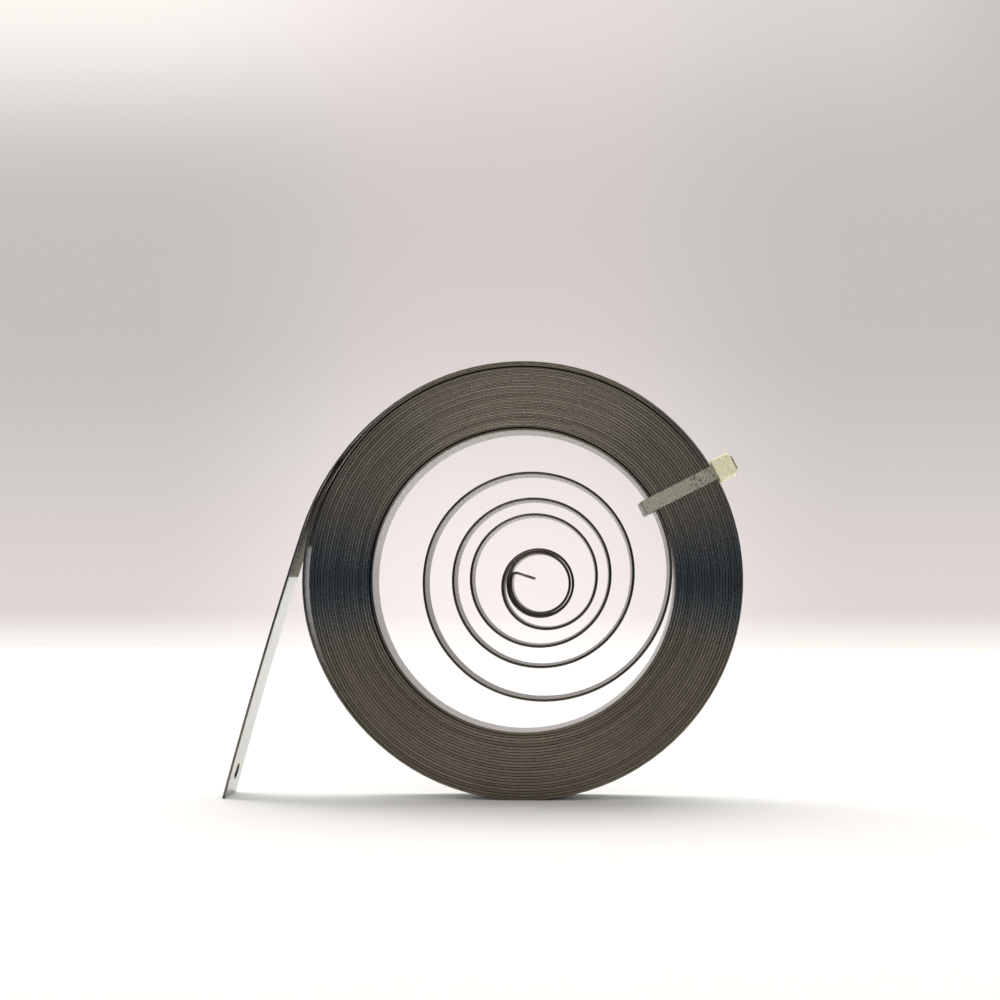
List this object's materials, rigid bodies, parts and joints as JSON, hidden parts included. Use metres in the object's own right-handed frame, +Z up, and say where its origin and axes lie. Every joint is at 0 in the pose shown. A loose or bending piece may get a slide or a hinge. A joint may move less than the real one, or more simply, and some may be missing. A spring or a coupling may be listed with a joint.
{
  "type": "power spring",
  "caption": "Flat steel strip wound into a tight ring round open inner turns, with a hooked coil for an arbor, a straight tail with a fixing hole, and a nylon tie that holds it wound.",
  "frame": {"origin": "on the axis of the arbor coil, half way across the strip's width", "axes": "+X to the right and +Z up as in the picture, +Y along the arbor's axis away from the camera"},
  "size_m": [0.0903, 0.0133, 0.0762],
  "materials": {
    "spring_steel": "bright rolled faces with dark sheared edges",
    "nylon": "natural nylon, satin"
  },
  "bodies": {
    "root": {"spring_strip": "spring_steel", "cable_tie": "nylon"}
  },
  "joints": []
}
